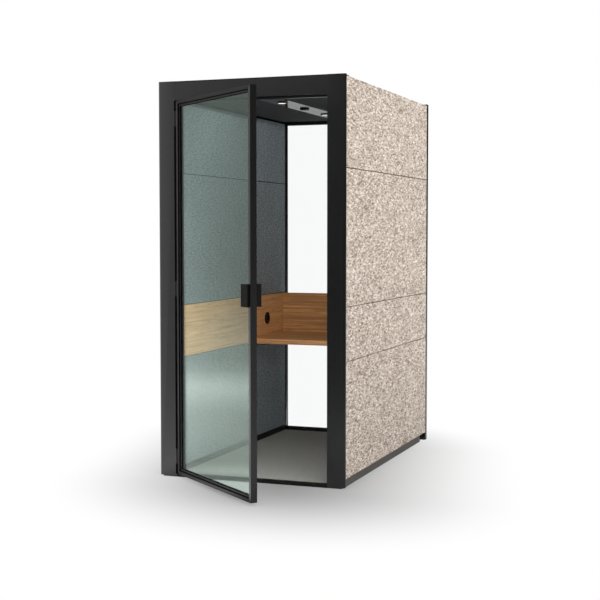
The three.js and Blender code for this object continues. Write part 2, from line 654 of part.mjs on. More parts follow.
const hingeMember = doorMember(doorH, ACROSS, UP, [DOOR_HINGE_EDGE, DOOR_OUT, DOOR_BOTTOM]);
const doorKnuckles = Object.values(HINGES).flatMap((z) => {
  const zs = around(z, knuckleThird - 2 * KNUCKLE_GAP);
  const leafX = [DOOR_HINGE_EDGE - HINGE_LEAF_T, DOOR_HINGE_EDGE + PAST];
  return [upright(KNUCKLE_R, zs, 0, 0, ROUND_SMALL), block(leafX, [0, HINGE_LEAF_W], zs)];
});
const pinBores = Object.values(HINGES).map((z) =>
  upright(PIN_R + RUNNING_GAP, around(z, HINGE_H), 0, 0, ROUND_SMALL),
);
add(door, "door_stile_hinge", cut(join(hingeMember, ...doorKnuckles), ...pinBores), ANTHRACITE);

const postX = DOOR_LATCH_EDGE - HANDLE_POST_INSET;
const postZs = around(HANDLE_Z, HANDLE_POST_PITCH);
const outPlateY = DOOR_OUT - HANDLE_OUT_GAP;
const inPlateY = DOOR_IN + HANDLE_IN_GAP;
// A round bar through the door, from one handle plate to the other
const postAt = (r, [y0, y1], z) =>
  new THREE.CylinderGeometry(r, r, y1 - y0, ROUND_SMALL).translate(postX, (y0 + y1) / 2, z);

const latchMember = doorMember(doorH, BACKWARDS, DOWN, [DOOR_LATCH_EDGE, DOOR_OUT, DOOR_TOP]);
const boltHoles = postZs.map((z) => postAt(HANDLE_POST_R + FIT_GAP, [DOOR_OUT - PAST, DOOR_IN + PAST], z));
add(door, "door_stile_latch", cut(latchMember, ...boltHoles), ANTHRACITE);

const bottomMember = doorMember(doorW, UP, BACKWARDS, [DOOR_LATCH_EDGE, DOOR_OUT, DOOR_BOTTOM]);
add(door, "door_rail_bottom", bottomMember, ANTHRACITE);
const topMember = doorMember(doorW, DOWN, ACROSS, [DOOR_HINGE_EDGE, DOOR_OUT, DOOR_TOP]);
add(door, "door_rail_top", topMember, ANTHRACITE);

const paneInset = grooveEnd + FIT_GAP;
const doorPane = block(
  [DOOR_HINGE_EDGE + paneInset, DOOR_LATCH_EDGE - paneInset],
  [DOOR_OUT + glassOut, DOOR_OUT + glassOut + GLASS_T],
  [DOOR_BOTTOM + paneInset, DOOR_TOP - paneInset],
);
add(door, "door_glass", doorPane, GLASS);

const plateZ = around(HANDLE_Z, HANDLE_H);
const outPlateX = [DOOR_LATCH_EDGE - HANDLE_W, DOOR_LATCH_EDGE];
const outPlate = block(outPlateX, [outPlateY - HANDLE_T, outPlateY], plateZ);
const blockEdge = DOOR_LATCH_EDGE - HANDLE_BLOCK_INSET;
const blockY = [outPlateY - PAST, DOOR_OUT - FIT_GAP];
const gripBlock = block([blockEdge - HANDLE_BLOCK_W, blockEdge], blockY, plateZ);
const inPlateEdge = DOOR_LATCH_EDGE - HANDLE_IN_SETBACK;
const inPlate = block([inPlateEdge - HANDLE_W, inPlateEdge], [inPlateY, inPlateY + HANDLE_T], plateZ);
const inWeb = block([inPlateEdge - HANDLE_T, inPlateEdge], [DOOR_IN + FIT_GAP, inPlateY + PAST], plateZ);
const posts = postZs.map((z) => postAt(HANDLE_POST_R, [outPlateY - PAST, inPlateY + PAST], z));
add(door, "door_handle", join(outPlate, gripBlock, inPlate, inWeb, ...posts), ANTHRACITE);

export default pod;
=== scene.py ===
import json
from math import pi, radians

import bmesh
import bpy
from mathutils import Matrix, Vector


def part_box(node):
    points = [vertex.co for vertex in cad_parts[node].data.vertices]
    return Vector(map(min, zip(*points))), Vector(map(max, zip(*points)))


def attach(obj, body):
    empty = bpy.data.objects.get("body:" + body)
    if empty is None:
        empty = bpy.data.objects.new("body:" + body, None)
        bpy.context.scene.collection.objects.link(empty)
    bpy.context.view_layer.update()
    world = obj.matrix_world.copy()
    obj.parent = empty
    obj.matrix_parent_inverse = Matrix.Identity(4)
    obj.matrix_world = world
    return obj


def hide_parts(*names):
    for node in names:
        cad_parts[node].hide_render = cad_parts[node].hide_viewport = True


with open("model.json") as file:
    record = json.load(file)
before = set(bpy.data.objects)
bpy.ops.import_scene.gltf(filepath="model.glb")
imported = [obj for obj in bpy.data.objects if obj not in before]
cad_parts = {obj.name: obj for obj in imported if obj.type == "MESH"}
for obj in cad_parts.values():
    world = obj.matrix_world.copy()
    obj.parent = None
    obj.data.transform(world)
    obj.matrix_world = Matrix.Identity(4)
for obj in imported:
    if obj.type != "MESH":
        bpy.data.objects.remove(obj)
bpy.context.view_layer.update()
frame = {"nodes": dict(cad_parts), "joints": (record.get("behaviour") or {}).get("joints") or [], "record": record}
scene = bpy.context.scene
scene.view_settings.view_transform = "Standard"

# Camera and studio
# The camera stands right of the door at chest height, as the photograph's does. A floor runs out to white under a
# plain white sky; near the pod it is a darker matt grey, a painted shadow, which also keeps the pod's real soft
# shadow.
# Soft daylight comes in at the doorway.
# Gloss mirrors a dimmer room with a lit floor.
CAMERA_PLACE = (2.7126, -7.3704, 1.4280)
CAMERA_DOWN = radians(3.1177)
CAMERA_LEFT = radians(20.4175)
LENS_MM = 74.08
SENSOR_MM = 36
WHITE = (1, 1, 1, 1)
TO_FRONT = (0, -1, 0)
TO_LEFT = (-1, 0, 0)
UPWARD = (0, 0, 1)
# Daylight: a broad sky, stronger in front, a brighter patch high at the right, and a panel in the doorway.
SKY_FRONT = 1.02
SKY_BACK = 0.10
SKY_EDGE = (-0.5, 0.6)
KEY_LIGHT = 1.75
KEY_FROM = (0.72, -0.48, 0.50)
KEY_EDGE = (0.6, 1.0)
DOORWAY_WATTS = 2.4
DOORWAY_MARGIN = 0.03
DOORWAY_TOP = 1.55
# The room in the gloss: dim, lighter at the left, with a bright front left corner and a paler front above.
DIM_GLOSS = 0.05
LEFT_GLOSS = 0.47
LEFT_EDGE = (0.4, 0.9)
BRIGHT_GLOSS = 1.0
BRIGHT_FROM = (-0.85, -0.527, 0)
BRIGHT_EDGE = (0.79, 0.92)
OVERHEAD_GLOSS = 0.18
OVERHEAD_EDGE = (0.103, 0.132)
OVERHEAD_FRONT = (0.5, 0.8)
# The floor: a painted shadow of darker matt grey near the pod, which also keeps its real shadow, turning to white
# glow away from it.
FLOOR_REACH = 60
FLOOR_SHADOW_GREY = (0.38, 0.38, 0.38, 1)
FLOOR_BOUNCE = 0.93
BOUNCE_EDGE = (0.3, 3.2)
SHADOW_SKEW = 0.22
SHADOW_MIDDLE = (-0.01, -0.28)
SHADOW_HALF = (0.02, 0.67)
SHADOW_EDGE = (-0.09, 1.42)
BEHIND_WINDOW = (0.6, 0.9)
# The floor in the gloss: its tone by the distance to the right, beside the pod, and a plainer tone ahead.
LIT_BESIDE = (-2.6, -1.5)
LIT_BEHIND = (13, 6.5)
NEAR_GLOSS = 0.5
NEAR_AHEAD = (-6, -1.5)
LIT_FLOOR = (
    (-20, 0.5),
    (-15, 0.7),
    (-10, 0.9),
    (-7.2, 0.95),
    (-6, 1.25),
    (-4.8, 2.1),
    (-4.2, 2.1),
    (-3, 1.45),
    (-2, 1.35),
    (-1.4, 1.15),
    (-0.92, 1.0),
    (-0.62, 1.8),
    (-0.5, 1.0),
    (-0.42, 1.0),
    (-0.34, 2.6),
    (-0.08, 3.5),
    (0.1, 0.3),
    (1.2, 0.65),
    (3, 0.4),
    (8, 0.08),
)

camera = bpy.data.objects.new("camera", bpy.data.cameras.new("camera"))
camera.data.lens = LENS_MM
camera.data.sensor_width = SENSOR_MM
camera.location = CAMERA_PLACE
camera.rotation_euler = (pi / 2 - CAMERA_DOWN, 0, CAMERA_LEFT)
scene.collection.objects.link(camera)
scene.camera = camera


def add_node(tree, kind, sockets=None, **settings):
    """A shader node with its settings, and its sockets set or linked."""
    made = tree.nodes.new(kind)
    for key, value in settings.items():
        setattr(made, key, value)
    for key, value in (sockets or {}).items():
        if isinstance(value, bpy.types.NodeSocket):
            tree.links.new(value, made.inputs[key])
        else:
            made.inputs[key].default_value = value
    return made


def math(tree, operation, a, b=0.0):
    return add_node(tree, "ShaderNodeMath", {0: a, 1: b}, operation=operation).outputs[0]


def eased(tree, value, low, high, start=0.0, stop=1.0):
    """Goes smoothly from start to stop as a value goes from low to high."""
    sockets = {"Value": value, "From Min": low, "From Max": high, "To Min": start, "To Max": stop}
    return add_node(tree, "ShaderNodeMapRange", sockets, interpolation_type="SMOOTHSTEP").outputs[0]


def ramp(tree, value, stops):
    """Colours by a value from 0 to 1, from (position, colour) stops."""
    made = add_node(tree, "ShaderNodeValToRGB", {0: value})
    bands = made.color_ramp.elements
    while len(bands) < len(stops):
        bands.new(0.5)
    for band, (position, colour) in zip(bands, stops):
        band.position = position
        band.color = colour
    return made.outputs["Color"]


def mirrored(tree):
    """1 for a ray that has come off a gloss, straight or out through glass."""
    path = add_node(tree, "ShaderNodeLightPath")
    off_gloss = math(tree, "GREATER_THAN", path.outputs["Glossy Depth"], 0.5)
    return math(tree, "MULTIPLY", off_gloss, math(tree, "SUBTRACT", 1, path.outputs["Is Diffuse Ray"]))


def facing(tree, way, direction):
    """How far a way points in a direction: 1 straight along it, -1 straight against it."""
    sockets = {0: way, 1: direction}
    return add_node(tree, "ShaderNodeVectorMath", sockets, operation="DOT_PRODUCT").outputs["Value"]


world = bpy.data.worlds.new("studio")
world.use_nodes = True
world.cycles.sampling_method = "NONE"
scene.world = world
sky = world.node_tree
sky.nodes.clear()
way = add_node(sky, "ShaderNodeTexCoord").outputs["Generated"]
key = eased(sky, facing(sky, way, KEY_FROM), *KEY_EDGE, 0, KEY_LIGHT)
broad_sky = eased(sky, facing(sky, way, TO_FRONT), *SKY_EDGE, SKY_BACK, SKY_FRONT)
daylight = math(sky, "ADD", key, broad_sky)
room = eased(sky, facing(sky, way, TO_LEFT), *LEFT_EDGE, DIM_GLOSS, LEFT_GLOSS)
gloss = math(sky, "ADD", room, eased(sky, facing(sky, way, BRIGHT_FROM), *BRIGHT_EDGE, 0, BRIGHT_GLOSS))
raised = eased(sky, facing(sky, way, UPWARD), *OVERHEAD_EDGE, 0, OVERHEAD_GLOSS)
front = eased(sky, facing(sky, way, TO_FRONT), *OVERHEAD_FRONT)
gloss = math(sky, "ADD", gloss, math(sky, "MULTIPLY", raised, front))
path = add_node(sky, "ShaderNodeLightPath")
shown = math(sky, "MAXIMUM", path.outputs["Is Camera Ray"], path.outputs["Is Transmission Ray"])
tone = add_node(sky, "ShaderNodeMix", {"Factor": shown, "A": daylight, "B": 1.0}).outputs["Result"]
tone = add_node(sky, "ShaderNodeMix", {"Factor": mirrored(sky), "A": tone, "B": gloss}).outputs["Result"]
backdrop = add_node(sky, "ShaderNodeBackground", {"Color": WHITE, "Strength": tone})
add_node(sky, "ShaderNodeOutputWorld", {"Surface": backdrop.outputs[0]})


def hang_light(light, place, turn=(0, 0, 0)):
    """Puts a light in its place, where it lights the pod without being seen itself."""
    hung = bpy.data.objects.new(light.name, light)
    hung.location = place
    hung.rotation_euler = turn
    scene.collection.objects.link(hung)
    hung.visible_camera = False
    hung.visible_glossy = False
    hung.visible_transmission = False


low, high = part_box("door_seal")
doorway = bpy.data.lights.new("doorway_daylight", "AREA")
doorway.energy = DOORWAY_WATTS
doorway.shape = "RECTANGLE"
doorway.size = high.x - low.x - 2 * DOORWAY_MARGIN
doorway.size_y = DOORWAY_TOP - low.z
doorway_middle = ((low.x + high.x) / 2, high.y + DOORWAY_MARGIN, (low.z + DOORWAY_TOP) / 2)
hang_light(doorway, doorway_middle, (pi / 2, 0, 0))

bm = bmesh.new()
bmesh.ops.create_grid(bm, x_segments=1, y_segments=1, size=FLOOR_REACH / 2)
mesh = bpy.data.meshes.new("studio_floor")
bm.to_mesh(mesh)
bm.free()
studio_floor = bpy.data.objects.new("studio_floor", mesh)
scene.collection.objects.link(studio_floor)
floor_paint = bpy.data.materials.new("studio_floor")
floor_paint.use_nodes = True
floor_paint.cycles.emission_sampling = "NONE"
mesh.materials.append(floor_paint)
tree = floor_paint.node_tree
tree.nodes.clear()
place = add_node(tree, "ShaderNodeTexCoord").outputs["Object"]
axis = add_node(tree, "ShaderNodeSeparateXYZ", {0: place}).outputs
skewed = math(tree, "ADD", axis["X"], math(tree, "MULTIPLY", axis["Y"], SHADOW_SKEW))
beyond = []
for value, middle, half in zip((skewed, axis["Y"]), SHADOW_MIDDLE, SHADOW_HALF):
    off = math(tree, "ABSOLUTE", math(tree, "SUBTRACT", value, middle))
    beyond.append(math(tree, "MAXIMUM", math(tree, "SUBTRACT", off, half), 0))
squares = [math(tree, "MULTIPLY", value, value) for value in beyond]
far = math(tree, "SQRT", math(tree, "ADD", squares[0], squares[1]))
path = add_node(tree, "ShaderNodeLightPath")
behind = eased(tree, axis["Y"], *BEHIND_WINDOW)
through_window = math(tree, "MULTIPLY", path.outputs["Is Transmission Ray"], behind)
fade = math(tree, "MAXIMUM", eased(tree, far, *SHADOW_EDGE), through_window)
first, last = LIT_FLOOR[0][0], LIT_FLOOR[-1][0]
along = math(tree, "DIVIDE", math(tree, "SUBTRACT", axis["X"], first), last - first)
stops = [((x - first) / (last - first), (tone, tone, tone, 1)) for x, tone in LIT_FLOOR]
beside = eased(tree, axis["Y"], *LIT_BESIDE)
beside = math(tree, "MULTIPLY", beside, eased(tree, axis["Y"], *LIT_BEHIND))
outward = add_node(tree, "ShaderNodeVectorMath", {0: place}, operation="NORMALIZE").outputs["Vector"]
ahead = eased(tree, facing(tree, outward, BRIGHT_FROM), *BRIGHT_EDGE, DIM_GLOSS, BRIGHT_GLOSS)
ahead = math(tree, "ADD", ahead, eased(tree, axis["Y"], *NEAR_AHEAD, 0, NEAR_GLOSS))
sockets = {"Factor": beside, "A": ahead, "B": ramp(tree, along, stops)}
lit = add_node(tree, "ShaderNodeMix", sockets).outputs["Result"]
bounce = eased(tree, far, *BOUNCE_EDGE, 0, FLOOR_BOUNCE)
sockets = {"Factor": path.outputs["Is Diffuse Ray"], "A": 1.0, "B": bounce}
seen = add_node(tree, "ShaderNodeMix", sockets).outputs["Result"]
open_tone = add_node(tree, "ShaderNodeMix", {"Factor": mirrored(tree), "A": seen, "B": lit}).outputs["Result"]
glow = add_node(tree, "ShaderNodeEmission", {"Color": WHITE, "Strength": open_tone})
# Painted shadow: the matt grey near the pod is darker than the white floor beyond it, on top of the real shadow.
matt = add_node(tree, "ShaderNodeBsdfDiffuse", {"Color": FLOOR_SHADOW_GREY})
blend = add_node(tree, "ShaderNodeMixShader", {0: fade, 1: matt.outputs[0], 2: glow.outputs[0]})
add_node(tree, "ShaderNodeOutputMaterial", {"Surface": blend.outputs[0]})

# Base
# A board floor with grey carpet glued to it, a folded steel threshold with a dull dark coat at the door, and
# a grey coated steel beam under each side wall. A thin black skirting edges the carpet. Four plastic feet on
# threaded rods level the pod.
BODY_OF = {
    node: body
    for body, nodes in frame["record"]["behaviour"]["bodies"].items()
    for node in nodes
}
FACET_ANGLE = radians(50)
SHARP_ANGLE = radians(30)
FLAT_ANGLE = radians(0.5)
SAME_PLACE = 1e-5
SAME_POINT = 1e-6


def srgb(red, green, blue):
    """A colour as it looks on screen, 0 to 255, as Blender's linear colour."""

    def linear(c):
        c = c / 255
        return c / 12.92 if c <= 0.04045 else ((c + 0.055) / 1.055) ** 2.4

    return (linear(red), linear(green), linear(blue), 1)


def new_finish(name, roughness, metallic=0.0, specular=0.5):
    """A material with its node tree, its surface node and the place on the piece."""
    finish = bpy.data.materials.new(name)
    finish.use_nodes = True
    tree = finish.node_tree
    surface = tree.nodes["Principled BSDF"]
    surface.inputs["Roughness"].default_value = roughness
    surface.inputs["Metallic"].default_value = metallic
    surface.inputs["Specular IOR Level"].default_value = specular
    place = add_node(tree, "ShaderNodeTexCoord").outputs["Object"]
    return finish, tree, surface, place


def stretched(tree, place, scale, turn=(0, 0, 0)):
    """The place, turned and then stretched, so that a pattern gets a direction."""
    turned_place = add_node(tree, "ShaderNodeMapping", {"Vector": place, "Rotation": turn}).outputs[0]
    return add_node(tree, "ShaderNodeMapping", {"Vector": turned_place, "Scale": scale}).outputs[0]


def noise(tree, place, scale, detail=2.0, rough=0.5, distortion=0.0):
    sockets = {
        "Vector": place,
        "Scale": scale,
        "Detail": detail,
        "Roughness": rough,
        "Distortion": distortion,
    }
    return add_node(tree, "ShaderNodeTexNoise", sockets).outputs["Fac"]


def relief(tree, surface, height, strength, depth):
    """Raises the surface a little where the height is more."""
    sockets = {"Height": height, "Strength": strength, "Distance": depth}
    bump = add_node(tree, "ShaderNodeBump", sockets)
    tree.links.new(bump.outputs[0], surface.inputs["Normal"])


def paint(tree, surface, colour):
    tree.links.new(colour, surface.inputs["Base Color"])


COAT_UNEVEN = 0.012


def powder_coat(name, dark, pale, roughness, specular):
    """Sprayed and baked paint: a fine orange peel and a slightly uneven tone."""
    finish, tree, surface, place = new_finish(name, roughness, specular=specular)
    cloud = noise(tree, place, 3.5, 3)
    paint(tree, surface, ramp(tree, cloud, [(0.3, dark), (0.7, pale)]))
    relief(tree, surface, noise(tree, place, 700, 1), 0.02, 0.0003)
    smooth, dull = roughness - COAT_UNEVEN, roughness + COAT_UNEVEN
    uneven = eased(tree, noise(tree, place, 18, 2), 0.3, 0.7, smooth, dull)
    tree.links.new(uneven, surface.inputs["Roughness"])
    return finish


def moulded_plastic(name, colour, roughness):
    """Plastic from an etched mould."""
    finish, tree, surface, place = new_finish(name, roughness, specular=0.25)
    pale = tuple(min(1, c * 1.5) for c in colour[:3]) + (1,)
    paint(tree, surface, ramp(tree, noise(tree, place, 60, 3), [(0.35, colour), (0.75, pale)]))
    relief(tree, surface, noise(tree, place, 1600, 1), 0.2, 0.0004)
    return finish


def shaded_carpet_pile(name):
    """Short looped pile of mixed grey yarns, its greys set darker than the yarns' own: partly painted shade."""
    finish, tree, surface, place = new_finish(name, 1.0, specular=0.1)
    loops = add_node(tree, "ShaderNodeTexVoronoi", {"Vector": place, "Scale": 320.0}).outputs["Distance"]
    yarn = noise(tree, place, 150, 5, 0.7)
    mixed = math(tree, "ADD", math(tree, "MULTIPLY", loops, 0.35), math(tree, "MULTIPLY", yarn, 0.75))
    # Partly painted shade: these greys are darker than the yarns' own colour.
    colours = [(0.3, srgb(75, 75, 71)), (0.5, srgb(115, 115, 109)), (0.75, srgb(150, 149, 142))]
    paint(tree, surface, ramp(tree, mixed, colours))
    relief(tree, surface, mixed, 0.6, 0.002)
    surface.inputs["Sheen Weight"].default_value = 0.2
    return finish


def fibre_board(name, dark, pale):
    """Unfinished wood-fibre board."""
    finish, tree, surface, place = new_finish(name, 0.85, specular=0.2)
    chips = noise(tree, place, 130, 6, 0.65)
    paint(tree, surface, ramp(tree, chips, [(0.3, dark), (0.7, pale)]))
    relief(tree, surface, chips, 0.3, 0.001)
    return finish


DARK_COAT = (srgb(17, 17, 17), srgb(20, 20, 20))
ANTHRACITE = powder_coat("anthracite_coat", *DARK_COAT, roughness=0.26, specular=0.8)
DULL_ANTHRACITE = powder_coat("dull_anthracite_coat", *DARK_COAT, roughness=0.4, specular=0.25)
BEAM_GREY = powder_coat("beam_grey_coat", srgb(86, 81, 78), srgb(95, 90, 86), roughness=0.5, specular=0.5)
BLACK_PLASTIC = moulded_plastic("black_plastic", srgb(10, 10, 11), roughness=0.45)
SHADED_CARPET = shaded_carpet_pile("shaded_carpet_pile")
PALE_BOARD = fibre_board("pale_board", srgb(112, 100, 84), srgb(158, 146, 126))


def coat(finish, *nodes):
    """Gives CAD nodes whose shape is right a finish."""
    for node in nodes:
        frame["nodes"][node].material_slots[0].material = finish


def cad_copy(node):
    """A joined-up copy of a CAD node's mesh, with its flat faces made whole."""
    bm = bmesh.new()
    bm.from_mesh(frame["nodes"][node].data)
    bmesh.ops.remove_doubles(bm, verts=bm.verts, dist=SAME_PLACE)
    bmesh.ops.dissolve_limit(bm, angle_limit=FLAT_ANGLE, verts=bm.verts, edges=bm.edges)
    return bm


def ease(bm, radius, segments=2):
    """Rounds the sharp edges of a mesh."""
    edges = [e for e in bm.edges if e.is_manifold and e.calc_face_angle() > SHARP_ANGLE]
    bmesh.ops.bevel(
        bm,
        geom=edges,
        offset=radius,
        offset_type="OFFSET",
        segments=segments,
        profile=0.5,
        affect="EDGES",
        clamp_overlap=True,
        material=-1,
    )


def settle(bm, name, body, finish, stands_for=()):
    """Makes a finished piece of a mesh and puts it on its body."""
    mesh = bpy.data.meshes.new(name)
    bm.to_mesh(mesh)
    bm.free()
    mesh.materials.append(finish)
    mesh.shade_smooth()
    mesh.set_sharp_from_angle(angle=FACET_ANGLE)
    piece = bpy.data.objects.new(name, mesh)
    scene.collection.objects.link(piece)
    piece.modifiers.new("flat_faces", "WEIGHTED_NORMAL").keep_sharp = True
    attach(piece, body)
    if stands_for:
        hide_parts(*stands_for)
    return piece


def dress(node, finish, radius, segments=2):
    """A CAD node with its sharp edges rounded, under a finish."""
    bm = cad_copy(node)
    ease(bm, radius, segments)
    return settle(bm, node + "_piece", BODY_OF[node], finish, [node])


def placed(bm, matrix):
    """Moves a whole mesh, and gives it back."""
    bmesh.ops.transform(bm, matrix=matrix, verts=bm.verts)
    return bm


def turned(profile, steps=48):
    """A closed shape turned about Z from (radius, height) points that start and end on the axis."""
    bm = bmesh.new()
    points = [bm.verts.new((r, 0, z)) for r, z in profile]
    edges = [bm.edges.new(pair) for pair in zip(points, points[1:])]
    bmesh.ops.spin(
        bm,
        geom=points + edges,
        cent=(0, 0, 0),
        axis=(0, 0, 1),
        angle=2 * pi,
        steps=steps,
        use_merge=True,
    )
    bmesh.ops.remove_doubles(bm, verts=bm.verts, dist=SAME_POINT)
    bmesh.ops.recalc_face_normals(bm, faces=bm.faces)
    return bm


def bar(low, high, radius):
    """A bar between two corners, with rounded edges."""
    bm = bmesh.new()
    bmesh.ops.create_cube(bm, size=1)
    low, high = Vector(low), Vector(high)
    bmesh.ops.scale(bm, vec=high - low, verts=bm.verts)
    bmesh.ops.translate(bm, vec=(low + high) / 2, verts=bm.verts)
    ease(bm, radius)
    return bm


def wall_strip(panel, thickness, bottom, top, radius):
    """A thin strip along a lining panel's cabin face, as long as the panel."""
    low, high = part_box(panel)
    if low.x > 0:
        return bar((low.x - thickness, low.y, bottom), (low.x, high.y, top), radius)
    return bar((high.x, low.y, bottom), (high.x + thickness, high.y, top), radius)


def upright_at(low, high, z):
    """A move to the middle of a box as seen from above, at a height."""
    return Matrix.Translation(((low.x + high.x) / 2, (low.y + high.y) / 2, z))


SIDES = ("left", "right")
CARPET_EDGE = 0.0015
THRESHOLD_EDGE = 0.001
BEAM_EDGE = 0.0012
SKIRTING_T = 0.002
SKIRTING_EDGE = 0.0007
coat(PALE_BOARD, "floor_panel")
dress("carpet", SHADED_CARPET, CARPET_EDGE)
dress("threshold", DULL_ANTHRACITE, THRESHOLD_EDGE)
carpet_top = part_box("carpet")[1].z
for side in SIDES:
    dress("base_beam_" + side, BEAM_GREY, BEAM_EDGE)
    panel = f"lining_{side}_lower"
    strip = wall_strip(panel, SKIRTING_T, carpet_top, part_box(panel)[0].z, SKIRTING_EDGE)
    settle(strip, "skirting_" + side, "pod", BLACK_PLASTIC)

PAD_T = 0.010
PAD_EDGE = 0.0015
PAD_SLOPE = 0.55
ROD_R = 0.006
THREAD_PITCH = 0.002
THREAD_DEPTH = 0.0007
for node in ("foot_front_left", "foot_front_right", "foot_rear_left", "foot_rear_right"):
    low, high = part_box(node)
    pad_r = (high.x - low.x) / 2
    height = high.z - low.z
    profile = [(0, 0), (pad_r - PAD_EDGE, 0), (pad_r, PAD_EDGE), (pad_r, PAD_T * PAD_SLOPE)]
    profile += [(pad_r * PAD_SLOPE, PAD_T), (ROD_R, PAD_T)]
    for turn in range(int((height - PAD_T) / THREAD_PITCH) - 1):
        z = PAD_T + THREAD_PITCH * (turn + 0.5)
        profile += [(ROD_R - THREAD_DEPTH, z), (ROD_R, z + THREAD_PITCH / 2)]
    profile += [(ROD_R - THREAD_DEPTH, height), (0, height)]
    foot = placed(turned(profile, steps=32), upright_at(low, high, low.z))
    settle(foot, node + "_piece", BODY_OF[node], BLACK_PLASTIC, [node])

# Front frame
# Two stiles and a header, folded from sheet steel and powder coated in satin anthracite, with a
# chamfered outer edge. A black rubber seal is pressed onto the lip that stops the door.
FRAME_EDGE = 0.0006
SEAL_EDGE = 0.0006
for node in ("front_stile_left", "front_stile_right", "front_header"):
    dress(node, ANTHRACITE, FRAME_EDGE)


def rubber(name, dark, pale):
    """Rubber with a dry, slightly blooming surface."""
    finish, tree, surface, place = new_finish(name, 0.85, specular=0.0)
    bloom = noise(tree, place, 45, 4)
    paint(tree, surface, ramp(tree, bloom, [(0.35, dark), (0.8, pale)]))
    relief(tree, surface, noise(tree, place, 900, 2), 0.2, 0.0004)
    return finish


RUBBER = rubber("black_rubber", srgb(8, 8, 8), srgb(18, 18, 18))
SEAL_RUBBER = rubber("seal_rubber", srgb(34, 34, 34), srgb(46, 46, 45))
dress("door_seal", SEAL_RUBBER, SEAL_EDGE)

# Rear frame and window
# Four steel members like the front frame's hold one full-height pane of clear laminated glass.
# A black glazing gasket runs round the pane on both of its faces.
for node in ("rear_stile_left", "rear_stile_right", "rear_rail_top", "rear_rail_bottom"):
    dress(node, ANTHRACITE, FRAME_EDGE)


LIGHT_PASSED = (0.93, 0.95, 0.94, 1)


def clear_glass(name, tint, bend, mirror_tint):
    """Clear glass with a faint cast. Lamps and daylight pass it without bending."""
    finish = bpy.data.materials.new(name)
    finish.use_nodes = True
    tree = finish.node_tree
    surface = tree.nodes["Principled BSDF"]
    surface.inputs["Base Color"].default_value = tint
    surface.inputs["Transmission Weight"].default_value = 1
    surface.inputs["Roughness"].default_value = 0
    surface.inputs["IOR"].default_value = bend
    surface.inputs["Specular Tint"].default_value = mirror_tint
    open_way = add_node(tree, "ShaderNodeBsdfTransparent", {"Color": LIGHT_PASSED})
    path = add_node(tree, "ShaderNodeLightPath")
    passing = math(tree, "MAXIMUM", path.outputs["Is Shadow Ray"], path.outputs["Is Diffuse Ray"])
    sockets = {0: passing, 1: surface.outputs[0], 2: open_way.outputs[0]}
    pane = add_node(tree, "ShaderNodeMixShader", sockets)
    tree.links.new(pane.outputs[0], tree.nodes["Material Output"].inputs["Surface"])
    return finish


WINDOW_GLASS = clear_glass("window_glass", srgb(252, 254, 253), bend=1.35, mirror_tint=WHITE)
coat(WINDOW_GLASS, "rear_glass")


def gasket_ring(width, height, band, thickness):
    """A rectangular ring standing in the XZ plane, centred, with its thickness along +Y."""
    bm = bmesh.new()
    bmesh.ops.create_grid(bm, x_segments=1, y_segments=1, size=0.5)
    bmesh.ops.scale(bm, vec=(width, height, 1), verts=bm.verts)
    inner = bm.faces[:]
    bmesh.ops.inset_region(bm, faces=inner, thickness=band, use_even_offset=True, use_boundary=True)
    bmesh.ops.delete(bm, geom=inner, context="FACES_ONLY")
    made = bmesh.ops.extrude_face_region(bm, geom=bm.faces[:])
    lifted = [v for v in made["geom"] if isinstance(v, bmesh.types.BMVert)]
    bmesh.ops.translate(bm, vec=(0, 0, -thickness), verts=lifted)
    bmesh.ops.recalc_face_normals(bm, faces=bm.faces)
    return placed(bm, Matrix.Rotation(pi / 2, 4, "X"))


REAR_GASKET_BAND = 0.002
REAR_GASKET_T = 0.003
REAR_GASKET_EDGE = 0.0005
pane_low, pane_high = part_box("rear_glass")
window_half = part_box("rear_stile_right")[0].x
window_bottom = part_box("rear_rail_bottom")[1].z
window_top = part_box("rear_rail_top")[0].z
window_middle = (window_bottom + window_top) / 2
for name, y in (("inner", pane_low.y - REAR_GASKET_T), ("outer", pane_high.y)):
    ring = gasket_ring(2 * window_half, window_top - window_bottom, REAR_GASKET_BAND, REAR_GASKET_T)
    placed(ring, Matrix.Translation((0, y, window_middle)))
    ease(ring, REAR_GASKET_EDGE)
    settle(ring, "rear_gasket_" + name, "pod", RUBBER)

# Side walls, outside
# Each wall is a sandwich core, painted near black so the gaps look shaded, clad with four panels of thick pressed
# felt, mottled from beige, brown and white fibre, with a shadow gap between them.
# Painted shade: the core's near-black tone darkens the gaps between the panels.
SHADE_DARK_CORE_BOARD = fibre_board("core_board", srgb(11, 11, 11), srgb(18, 17, 17))
coat(SHADE_DARK_CORE_BOARD, "wall_core_left", "wall_core_right")


def pressed_felt(name):
    """Felt pressed from long crossing fibres of three colours, laid mostly level."""
    finish, tree, surface, place = new_finish(name, 0.95, specular=0.15)
    layers = []
    for turn, scale in ((0.14, 88), (-0.16, 106), (0.05, 170), (-0.07, 150)):
        way = stretched(tree, place, (1, 0.27, 1), (turn, 0, 0))
        layers.append(noise(tree, way, scale, 3, 0.6, 1.0))
    coarse = math(tree, "ADD", layers[0], layers[1])
    fine = math(tree, "ADD", layers[2], layers[3])
    mixed = math(tree, "ADD", math(tree, "MULTIPLY", coarse, 0.28), math(tree, "MULTIPLY", fine, 0.22))
    cloud = noise(tree, stretched(tree, place, (1, 0.5, 1)), 9, 2)
    mixed = math(tree, "ADD", mixed, math(tree, "MULTIPLY", math(tree, "SUBTRACT", cloud, 0.5), 0.04))
    colours = [
        (0.40, srgb(96, 78, 66)),
        (0.455, srgb(150, 131, 116)),
        (0.50, srgb(203, 186, 171)),
        (0.545, srgb(236, 224, 211)),
        (0.60, srgb(255, 253, 247)),
    ]
    paint(tree, surface, ramp(tree, mixed, colours))
    relief(tree, surface, mixed, 0.5, 0.003)
    surface.inputs["Sheen Weight"].default_value = 0.15
    return finish


